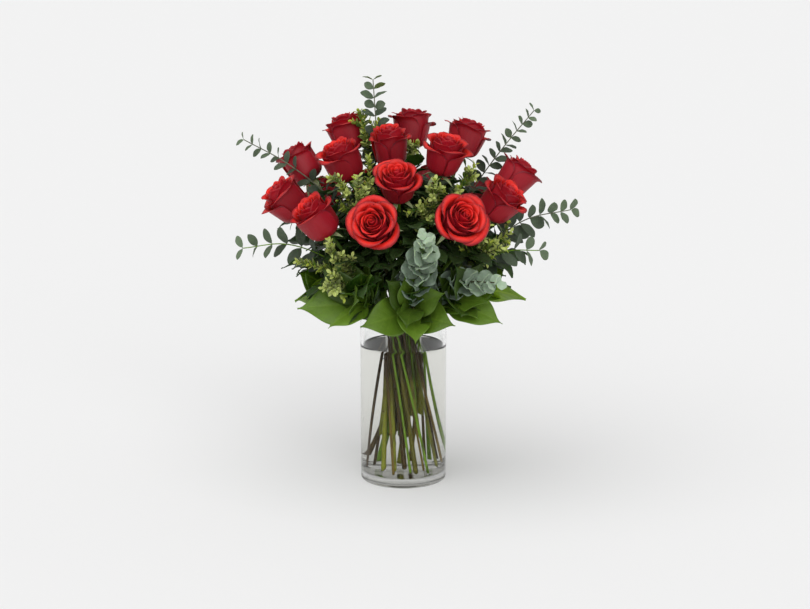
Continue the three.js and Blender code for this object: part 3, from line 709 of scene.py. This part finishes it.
def petal_finish():
    """Velvet red: scarlet on the upper face, a far darker crimson outside (partly the petal's own cooler back,
    partly painted shade), near black along rolled rims, fine ribs.
    """
    made, tree, shader = new_finish("rose_petal")
    edge, rank, front, mood = (mark(tree, n) for n in ("edge", "rank", "front", "mood"))
    blotch = group_node(tree, MOTTLE, Size=60).outputs[0]
    scarlet = mixed(tree, mood, (0.82, 0.016, 0.012), (0.94, 0.028, 0.016))
    crimson = mixed(tree, mood, (0.24, 0.002, 0.009), (0.35, 0.004, 0.015))
    # The outer face is painted much darker than the upper face: partly its own cooler crimson, partly painted shade.
    colour = mixed(tree, front, scarlet, crimson)
    patches = maths(tree, "MULTIPLY", ramped(tree, blotch, 0.45, 0.75), 0.3)
    colour = mixed(tree, patches, colour, (0.30, 0.001, 0.008))
    rim = maths(tree, "MULTIPLY", ramped(tree, edge, 0.9, 1.0), ramped(tree, rank, 0.4, 0.9))
    colour = mixed(tree, maths(tree, "MULTIPLY", rim, 0.75), colour, (0.07, 0.0, 0.008))
    tree.links.new(colour, shader.inputs["Base Color"])
    uv = add_node(tree, "ShaderNodeUVMap", uv_map="surface")
    ribs = add_node(tree, "ShaderNodeMapping", {"Vector": uv.outputs[0]})
    ribs.inputs["Scale"].default_value = (26, 2.2, 1)
    rib = add_node(tree, "ShaderNodeTexNoise", {"Vector": ribs.outputs[0]}, Scale=1.0, Detail=3.0)
    bump = add_node(tree, "ShaderNodeBump", {"Height": rib.outputs[0]}, Strength=0.25, Distance=0.0006)
    tree.links.new(bump.outputs[0], shader.inputs["Normal"])
    rough = maths(tree, "MULTIPLY_ADD", rib.outputs[0], 0.2, 0.42)
    tree.links.new(rough, shader.inputs["Roughness"])
    shader.inputs["Sheen Weight"].default_value = 0.08
    shader.inputs["Sheen Roughness"].default_value = 0.4
    shader.inputs["Sheen Tint"].default_value = (1.0, 0.35, 0.35, 1)
    shader.inputs["Specular IOR Level"].default_value = 0.35
    shader.inputs["Subsurface Weight"].default_value = 0.3
    shader.inputs["Subsurface Radius"].default_value = (1.0, 0.12, 0.1)
    shader.inputs["Subsurface Scale"].default_value = 0.004
    return made


def leaf_finish(name, dark, light, vein, under, rough, gloss, veins=7, vein_share=0.5):
    """A leaf: mottled between two greens from leaf to leaf by its mood, which is set low on the inner salal leaves
    as painted shade, with lighter veins, a paler underside and a gloss that breaks along the veins."""
    made, tree, shader = new_finish(name)
    front, mood = mark(tree, "front"), mark(tree, "mood")
    blotch = group_node(tree, MOTTLE, Size=70).outputs[0]
    lines = group_node(tree, VEINS, Count=veins)
    patches = maths(tree, "MULTIPLY_ADD", blotch, 0.9, -0.35)
    tone = maths(tree, "ADD", maths(tree, "MULTIPLY", mood, 0.75), patches, clamp=True)
    colour = mixed(tree, tone, dark, light)
    bright = maths(tree, "MULTIPLY_ADD", tone, 0.8 * vein_share, 0.2 * vein_share)
    colour = mixed(tree, maths(tree, "MULTIPLY", lines.outputs["Veins"], bright), colour, vein)
    below = mixed(tree, tone, [0.35 * c for c in under], under)
    colour = mixed(tree, maths(tree, "MULTIPLY", maths(tree, "SUBTRACT", 1.0, front), 0.8), colour, below)
    tree.links.new(colour, shader.inputs["Base Color"])
    height = maths(tree, "MULTIPLY_ADD", lines.outputs["Veins"], -0.8, maths(tree, "MULTIPLY", blotch, 0.5))
    bump = add_node(tree, "ShaderNodeBump", {"Height": height}, Strength=0.35, Distance=0.0005)
    tree.links.new(bump.outputs[0], shader.inputs["Normal"])
    tree.links.new(maths(tree, "MULTIPLY_ADD", blotch, 0.25, rough - 0.1), shader.inputs["Roughness"])
    shader.inputs["Specular IOR Level"].default_value = gloss
    shader.inputs["Subsurface Weight"].default_value = 0.08
    shader.inputs["Subsurface Radius"].default_value = (0.4, 1.0, 0.15)
    shader.inputs["Subsurface Scale"].default_value = 0.002
    return made


def stem_finish(name, low, waist, high, stripe, rough=0.45):
    """A stem: one colour in the water, darker round the waist and fresh above it, with streaks and pale specks."""
    made, tree, shader = new_finish(name)
    place = add_node(tree, "ShaderNodeTexCoord").outputs["Object"]
    height = add_node(tree, "ShaderNodeSeparateXYZ", {"Vector": place}).outputs["Z"]
    long_ = add_node(tree, "ShaderNodeMapping", {"Vector": place})
    long_.inputs["Scale"].default_value = (300, 300, 22)
    streak = add_node(tree, "ShaderNodeTexNoise", {"Vector": long_.outputs[0]}, Scale=1.0, Detail=3.0)
    speck = add_node(tree, "ShaderNodeTexNoise", {"Vector": place}, Scale=900.0, Detail=1.0)
    blotch = group_node(tree, MOTTLE, Size=30).outputs[0]
    tone = mark(tree, "tone")
    shifted = maths(tree, "ADD", height, maths(tree, "MULTIPLY_ADD", tone, 0.10, -0.05))
    shifted = maths(tree, "ADD", shifted, maths(tree, "MULTIPLY_ADD", blotch, 0.12, -0.06))
    low = mixed(tree, ramped(tree, tone, 0.05, 0.6), waist, low)
    colour = mixed(tree, ramped(tree, shifted, 0.09, 0.19), low, waist)
    colour = mixed(tree, ramped(tree, shifted, 0.24, 0.32), colour, high)
    colour = mixed(tree, ramped(tree, tone, 0.72, 0.78), colour, (0.14, 0.26, 0.016))
    colour = mixed(tree, maths(tree, "MULTIPLY", ramped(tree, streak.outputs[0], 0.5, 0.7), 0.6), colour, stripe)
    specks = maths(tree, "MULTIPLY", ramped(tree, speck.outputs[0], 0.66, 0.72), 0.3)
    colour = mixed(tree, specks, colour, (0.2, 0.2, 0.08))
    tree.links.new(colour, shader.inputs["Base Color"])
    bump = add_node(tree, "ShaderNodeBump", {"Height": streak.outputs[0]}, Strength=0.4, Distance=0.0005)
    tree.links.new(bump.outputs[0], shader.inputs["Normal"])
    tree.links.new(maths(tree, "MULTIPLY_ADD", speck.outputs[0], 0.2, rough - 0.1), shader.inputs["Roughness"])
    shader.inputs["Specular IOR Level"].default_value = 0.25
    return made


def clear_finish(name, colour, ior, gleam):
    """Clear glass or water, which lets lamps light what stands in it; gleam is how much it mirrors head on."""
    made, tree, shader = new_finish(name)
    shader.inputs["Base Color"].default_value = (*colour, 1)
    shader.inputs["Roughness"].default_value = 0.0
    shader.inputs["IOR"].default_value = ior
    shader.inputs["Transmission Weight"].default_value = 1.0
    shader.inputs["Specular Tint"].default_value = (gleam, gleam, gleam, 1)
    open_ = add_node(tree, "ShaderNodeBsdfTransparent", Color=(*[0.5 + 0.5 * c for c in colour], 1))
    path = add_node(tree, "ShaderNodeLightPath")
    mix = add_node(tree, "ShaderNodeMixShader", {0: path.outputs["Is Shadow Ray"]})
    tree.links.new(shader.outputs[0], mix.inputs[1])
    tree.links.new(open_.outputs[0], mix.inputs[2])
    tree.links.new(mix.outputs[0], tree.nodes["Material Output"].inputs["Surface"])
    return made


PETAL = petal_finish()
ROSE_LEAF = leaf_finish(
    "rose_leaf", (0.007, 0.022, 0.003), (0.038, 0.088, 0.008), (0.06, 0.12, 0.02),
    (0.04, 0.075, 0.02), 0.45, 0.25,
)
SALAL_LEAF = leaf_finish(
    "salal_leaf", (0.018, 0.055, 0.003), (0.17, 0.30, 0.010), (0.28, 0.42, 0.04),
    (0.12, 0.22, 0.02), 0.42, 0.3, 7, 0.75,
)
GREY_LEAF = leaf_finish(
    "slender_eucalyptus_leaf", (0.026, 0.044, 0.024), (0.14, 0.20, 0.06), (0.13, 0.19, 0.09),
    (0.11, 0.15, 0.10), 0.6, 0.3, 5, 0.3,
)
SILVER_LEAF = leaf_finish(
    "silver_eucalyptus_leaf", (0.10, 0.165, 0.125), (0.50, 0.62, 0.36), (0.45, 0.52, 0.38),
    (0.36, 0.47, 0.36), 0.62, 0.3, 6, 0.4,
)
BOX_LEAF = leaf_finish(
    "boxwood_leaf", (0.035, 0.09, 0.010), (0.50, 0.60, 0.07), (0.5, 0.56, 0.16),
    (0.4, 0.46, 0.14), 0.4, 0.5, 5, 0.3,
)
SEPAL = leaf_finish(
    "sepal", (0.16, 0.26, 0.06), (0.34, 0.44, 0.15), (0.4, 0.48, 0.22),
    (0.42, 0.48, 0.26), 0.55, 0.35, 3, 0.2,
)
ROSE_STEM = stem_finish(
    "rose_stem", (0.21, 0.23, 0.02), (0.055, 0.034, 0.008), (0.07, 0.14, 0.02),
    (0.022, 0.02, 0.005),
)
WOODY_STEM = stem_finish(
    "woody_stem", (0.16, 0.11, 0.02), (0.045, 0.025, 0.008), (0.08, 0.09, 0.03),
    (0.02, 0.012, 0.005),
)
GREY_STEM = stem_finish(
    "eucalyptus_stem", (0.17, 0.13, 0.025), (0.05, 0.03, 0.01), (0.14, 0.15, 0.10),
    (0.03, 0.02, 0.01),
)
GLASS = clear_finish("clear_glass", (0.97, 0.975, 0.97), 1.5, 0.15)
WATER = clear_finish("clear_water", (0.84, 0.835, 0.80), 1.333, 0.02)

# ---------- pieces ----------


def build_vase():
    """A straight glass cylinder: rounded foot and rim, a thick floor with a rounded inner corner."""
    r, h, wall, floor, soft = (VASE[k] for k in ("radius", "height", "wall", "floor", "round"))
    inner, lip = r - wall, wall / 2
    side = [(r, z) for z in np.linspace(soft * 2, h - lip * 2, 12)]
    inside = [(inner, z) for z in np.linspace(h - lip * 2, floor + 0.004, 12)]
    profile = [
        (0, 0.0004), (r * 0.5, 0.0004), (r - 0.012, 0.0004), (r - 0.010, 0), *arc((r - soft, soft), soft, -90, 0),
        *side, *arc((r - lip, h - lip), lip, 0, 180, 9), *inside,
        *[(inner - 0.003 + 0.003 * c, floor + 0.003 - 0.003 * s) for c, s in arc((0, 0), 1, 0, 90)],
        (inner * 0.5, floor - 0.0006), (0, floor - 0.0008),
    ]
    make_piece("vase_glass", lathe(profile, 160), [GLASS], ["vase"])


def build_water():
    """Water up against the glass: its sides and floor sit a hair inside the glass, so that light passes straight
    from one to the other, and its surface climbs the wall in a small meniscus."""
    touch = 0.00025
    r = VASE["radius"] - VASE["wall"] + touch
    floor = VASE["floor"] - touch
    rise = [(r - 0.006 * t, WATER_LEVEL + 0.0016 * (1 - t) ** 2.5) for t in np.linspace(0, 1, 9)]
    side = [(r, z) for z in np.linspace(floor + 0.004, WATER_LEVEL - 0.002, 12)]
    corner = arc((r - 0.003, floor + 0.003), 0.003, -90, 0, 4)
    level = [(r * t, WATER_LEVEL) for t in (0.75, 0.5, 0.25)]
    profile = [(0, floor - 0.0008), (r * 0.5, floor - 0.0006), *corner, *side, *rise, *level, (0, WATER_LEVEL)]
    make_piece("water_body", lathe(profile, 160), [WATER], ["water"])


def rose_leaves(line, shares, rng):
    """Compound leaves up a rose stem: each a leaflet at its end and two pairs beside it, set out along one line from
    the stem.
    """
    start, way = along(line, shares)
    first, second = across(way)
    turn = rng.uniform(0, 2 * np.pi) + GOLDEN * np.arange(len(shares))
    blades = []
    for p, w, f, g, a in zip(start, way, first, second, turn):
        out = unit(f * np.cos(a) + g * np.sin(a) + w * 0.55)
        across_ = unit(np.cross(out, w))
        size = ROSE["leaflet"] * rng.uniform(0.85, 1.15)
        spots = [(0.060, 0, 1.0), (0.044, 1, 0.85), (0.044, -1, 0.85), (0.022, 1, 0.7), (0.022, -1, 0.7)]
        base = np.array([p + out * d for d, _, _ in spots])
        aim = unit(np.array([out + across_ * hand * 1.5 for _, hand, _ in spots]))
        length = np.array([size * share for _, _, share in spots])
        kept = clear_leaves(base, aim, length, up=np.tile(w, (5, 1)))
        if len(kept["base"]):
            blades.append(kept)
    every = {k: np.concatenate([b[k] for b in blades]) for k in blades[0]}
    return leaf_blades(**every, width=every["length"] * 0.66, thick=0.0004, rows=15, cols=7, widest=0.42,
                       round_=0.7, point=0.5, lift=0.1, bend=rng.uniform(0.2, 0.9, len(every["base"])), fold=0.2,
                       wave=0.04, teeth=7, stalk=0.08, rng=rng)


def build_rose(rose, rng):
    number = rose["number"]
    petals = placed(bloom_shape(rose["width"] * 0.98, rose["height"] * 0.95, rose["open"], rng), rose["base"],
                    rose["axis"], rng.uniform(0, 2 * np.pi))
    make_piece(f"rose_{number}_petals", petals, [PETAL], [f"rose_{number}_bloom"])

    line = LINES[f"rose_{number}"]
    share = np.linspace(0, 1, len(line))
    knots = 1 + 0.16 * np.exp(-((np.mod(share * 7.3 + rng.uniform(0, 1), 1) - 0.5) / 0.045) ** 2)
    radii = ROSE["stem"] * (1.08 - 0.22 * share) * knots
    tone = {"tone": rng.uniform()}
    stem = tube(line, radii, 12, tone, cut=0.9)
    hip, deep = ROSE["hip"], ROSE["hip_length"]
    profile = [(0, -deep * 1.1), (ROSE["stem"] * 0.8, -deep), (hip * 0.75, -deep * 0.75), (hip, -deep * 0.42),
               (hip * 0.92, -deep * 0.12), (hip * 0.8, 0.001), (0, 0.0025)]
    cup = placed(lathe(profile, 16, {"tone": 0.0}), rose["base"], rose["axis"])
    thorns = rose_thorns(line, rng)
    make_piece(f"rose_{number}_stem_and_hip", joined([stem, cup, *thorns]), [ROSE_STEM],
               [f"rose_{number}_stem"])

    first, second = across(rose["axis"])
    a = np.linspace(0, 2 * np.pi, 5, endpoint=False) + rng.uniform(0, 1)
    out = first * np.cos(a)[:, None] + second * np.sin(a)[:, None]
    base = rose["base"] - rose["axis"] * 0.0015 + out * hip * 0.7
    back = rng.uniform(-0.1, 0.9, 5)[:, None]
    aim = unit(out - rose["axis"] * back)
    green = leaf_blades(base, aim, np.tile(rose["axis"], (5, 1)), ROSE["sepal"] * rng.uniform(0.9, 1.25, 5), 0.0068,
                        0.0005, 12, 5, widest=0.28, round_=1.0, lift=0.25, bend=rng.uniform(0.3, 1.3, 5), fold=0.3,
                        rng=rng)
    make_piece(f"rose_{number}_sepals", green, [SEPAL])
    tall = length_of(line)
    shares = 1 - np.linspace(0.055, min(0.235, tall - 0.245), 10) * rng.uniform(0.93, 1.07, 10) / tall
    make_piece(f"rose_{number}_leaves", rose_leaves(line, shares, rng), [ROSE_LEAF])


def rose_thorns(line, rng):
    """Small hooked thorns: cones that bend down, set here and there up the stem."""
    shares = np.sort(rng.uniform(0.1, 0.93, 12))
    start, way = along(line, shares)
    first, second = across(way)
    turn = rng.uniform(0, 2 * np.pi, len(shares))
    thorns = []
    for p, w, f, g, a in zip(start, way, first, second, turn):
        out = f * np.cos(a) + g * np.sin(a)
        t = np.linspace(0, 1, 5)[:, None]
        spine = p + out * (0.0018 + 0.0042 * t) - w * 0.0016 * t**2
        thorns.append(tube(spine, 0.0013 * (1 - t[:, 0]) ** 0.8 + 0.00008, 6, {"tone": 0.0}))
    return thorns


def build_salal(name, tips, rng):
    line = LINES[f"salal_{name}"]
    share = np.linspace(0, 1, len(line))
    total = length_of(line)
    tips = np.array(tips, float)
    start, _ = along(line, 1 - (np.arange(len(tips)) * 0.006 + 0.024) / total)
    reach = tips - start
    length = np.linalg.norm(reach, axis=1)
    outward = unit(start * [1, 1, 0])
    collar = leaf_blades(start, reach, outward * 1.5 + UP * 0.5, length * 1.03, 0.016 + length * 0.42, 0.0006, 32,
                         17, widest=0.42, round_=0.72, point=0.75, lift=0.3, bend=0.66, fold=0.12, wave=0.03,
                         quilt=0.0009, stalk=0.06, mood=np.linspace(1, 0.3, len(tips)), rng=rng)
    count = 13
    more = ranked_leaves(line, np.linspace(1 - 0.05 / total, 1 - 0.004 / total, count), np.full(count, 0.068),
                         rng.uniform(0, 6), 0.5, rng, spiral=True)
    outward = unit(more["base"] * [1, 1, 0])
    more["aim"] = unit(more["aim"] * 0.8 + outward * 0.6 + UP * rng.uniform(0.4, 1.8, (count, 1)))
    more["up"] = UP * 0.3 + more["aim"][:, [1, 0, 2]] * 0.1 + outward * (rng.uniform(0, 1.2, (count, 1)) - 0.2)
    # The inner leaves get low moods, so they are painted dark: painted shade for the bunch's shaded inside.
    more["mood"] = rng.uniform(-0.4, 0.1, count)
    more = clear_leaves(**more)
    shapes = [collar]
    if len(more["base"]):
        shapes.append(leaf_blades(**more, width=more["length"] * 0.58, thick=0.0006, rows=26, cols=13, widest=0.42,
                                  round_=0.72, point=0.7, lift=0.15, bend=0.6, fold=0.14, wave=0.04, quilt=0.0009,
                                  stalk=0.08, rng=rng))
    branch = tube(line, SALAL_STEM * (1.1 - 0.45 * share), 8, {"tone": rng.uniform()}, cut=0.9)
    make_piece(f"salal_{name}_branch", branch, [WOODY_STEM], [f"salal_{name}"])
    make_piece(f"salal_{name}_leaves", joined(shapes), [SALAL_LEAF])


def build_eucalyptus(name, leave, tip, kind, leaf, plump, gap, rng):
    line = LINES[f"eucalyptus_{name}"]
    share = np.linspace(0, 1, len(line))
    total = length_of(line)
    out = np.linalg.norm(np.subtract(tip, leave)) + (0.02 if kind == "slender" else 0.034)
    count = int(out / gap) + 1
    order = np.linspace(0, 1, count)
    shares = 1 - (1 - order) * out / total
    if kind == "slender":
        form = {
            "widest": 0.52, "round_": 0.62, "fold": 0.08, "lift": 0.25, "bend": 0.55, "stalk": 0.06, "wave": 0.02,
        }
        size, tilt, turn, swap, face, finish = leaf * (1.08 - 0.42 * order**2), 0.5, 1.1, 0.95, 1.0, GREY_LEAF
    else:
        form = {"widest": 0.56, "round_": 0.45, "fold": 0.1, "lift": 0.3, "bend": -0.3, "wave": 0.07}
        size = leaf * (1 - 0.58 * order**1.6)
        tilt, turn, swap, face, finish = 0.35, 0.5, np.pi / 2, 0.3, SILVER_LEAF
    places = clear_leaves(**ranked_leaves(line, shares, size, turn, tilt, rng, twist=0.3, swap=swap))
    places["mood"] = 1.2 * places["mood"] ** 2 - 0.1
    outward = unit(places["base"] * [1, 1, 0])
    facing = UP * 0.35 - np.array([0, 0.5, 0]) + outward * 0.5 + rng.normal(0, 0.25, outward.shape)
    places["up"] = places["up"] * (1.1 - face) + facing * (0.4 + 0.6 * face)
    leaves = leaf_blades(**places, width=places["length"] * plump, thick=0.0005, rows=15, cols=11, rng=rng, **form)
    radius = EUCALYPTUS_STEM[kind]
    branch = tube(line, radius * (1.1 - 0.65 * share), 8, {"tone": rng.uniform()}, cut=0.9)
    make_piece(f"eucalyptus_{name}_branch", branch, [GREY_STEM], [f"eucalyptus_{name}"])
    make_piece(f"eucalyptus_{name}_leaves", leaves, [finish])


def build_boxwood(name, leave, tips, rng):
    line = LINES[f"boxwood_{name}"]
    share = np.linspace(0, 1, len(line))
    total = length_of(line)
    reach = np.linalg.norm(np.subtract(tips[0], leave))
    fork, _ = along(line, [1 - reach / total])
    main = [smooth_line([fork[0], *sprig_after(fork[0], tip, 0.003)], 40) for tip in tips]
    twigs = list(main)
    for stem in main:
        for at in rng.uniform(0.2, 0.95, 9):
            start, way = along(stem, [at])
            aim = unit(way[0] + rng.normal(0, 0.6, 3) + UP * 0.25)
            end = start[0] + aim * rng.uniform(0.014, 0.027)
            twigs.append(smooth_line([start[0], (start[0] + end) / 2 + UP * 0.001, end], 16))
    leaves = []
    for twig in twigs:
        long_ = length_of(twig)
        count = max(int(long_ * 0.75 / 0.0042), 5)
        size = np.linspace(0.0115, 0.0085, count)
        leaves.append(ranked_leaves(twig, np.linspace(0.25, 1, count), size, rng.uniform(0, 3), 0.9, rng))
    every = {k: np.concatenate([p[k] for p in leaves]) for k in leaves[0]}
    places = clear_leaves(**every)
    places["mood"] = 1.3 * places["mood"] ** 1.5 - 0.1
    blades = leaf_blades(**places, width=places["length"] * 0.52, thick=0.0005, rows=7, cols=5, widest=0.55,
                         round_=0.6, lift=0.2, bend=0.3, fold=0.25, rng=rng)
    tone = {"tone": rng.uniform()}
    rods = [tube(line, BOXWOOD_STEM * (1.1 - 0.5 * share), 8, tone, cut=0.9)]
    rods += [tube(t, np.linspace(0.0009, 0.0004, len(t)), 6, tone) for t in twigs]
    make_piece(f"boxwood_{name}_twigs", joined(rods), [WOODY_STEM], [f"boxwood_{name}"])
    make_piece(f"boxwood_{name}_leaves", blades, [BOX_LEAF])


build_vase()
build_water()
for rose in ROSES:
    build_rose(rose, RNG)
for name, _, _, tips in SALAL:
    build_salal(name, tips, RNG)
for name, leave, tip, _, *leaf in EUCALYPTUS:
    build_eucalyptus(name, leave, tip, *leaf, RNG)
for name, leave, tips in BOXWOOD:
    build_boxwood(name, leave, tips, RNG)

# ---------- floor, lamps and camera ----------


def build_floor():
    """A pale floor, wide enough to fill the view."""
    mesh = bpy.data.meshes.new("floor")
    half = 40.0
    mesh.from_pydata([(-half, -half, 0), (half, -half, 0), (half, half, 0), (-half, half, 0)], [], [(0, 1, 2, 3)])
    floor, tree, shader = new_finish("pale_floor")
    shader.inputs["Base Color"].default_value = (0.83, 0.83, 0.83, 1)
    shader.inputs["Roughness"].default_value = 1.0
    shader.inputs["Specular IOR Level"].default_value = 0.0
    mesh.materials.append(floor)
    made = bpy.data.objects.new("floor", mesh)
    bpy.context.scene.collection.objects.link(made)


def aimed(name, data, place, target):
    made = bpy.data.objects.new(name, data)
    bpy.context.scene.collection.objects.link(made)
    made.location = place
    made.rotation_euler = (Vector(target) - Vector(place)).to_track_quat("-Z", "Y").to_euler()
    return made


def build_lights():
    """A dim white room, with a broad lamp high at the front left and a weaker, lower one at the front."""
    world = bpy.data.worlds.new("studio")
    world.use_nodes = True
    world.node_tree.nodes["Background"].inputs[0].default_value = (1, 1, 1, 1)
    world.node_tree.nodes["Background"].inputs[1].default_value = 0.42
    bpy.context.scene.world = world
    for name, energy, angle, place in (("key", 1.9, 1.5, (-0.7, -1.2, 3.0)), ("front", 1.0, 0.9, (0.9, -3.0, 1.5))):
        sun = bpy.data.lights.new(name, "SUN")
        sun.energy = energy
        sun.angle = angle
        aimed(name, sun, place, (0, 0, 0.3))


def build_camera():
    """At the height and distance of someone standing back from the table, looking a little down."""
    pitch, distance, target = np.radians(12.5), 2.2, np.array([0.00236, 0, 0.24816])
    place = target + distance * np.array([0, -np.cos(pitch), np.sin(pitch)])
    lens = bpy.data.cameras.new("camera")
    lens.sensor_width = 36
    lens.lens = 70.5
    bpy.context.scene.camera = aimed("camera", lens, place, target)


build_floor()
build_lights()
build_camera()
bpy.context.scene.view_settings.view_transform = "Standard"
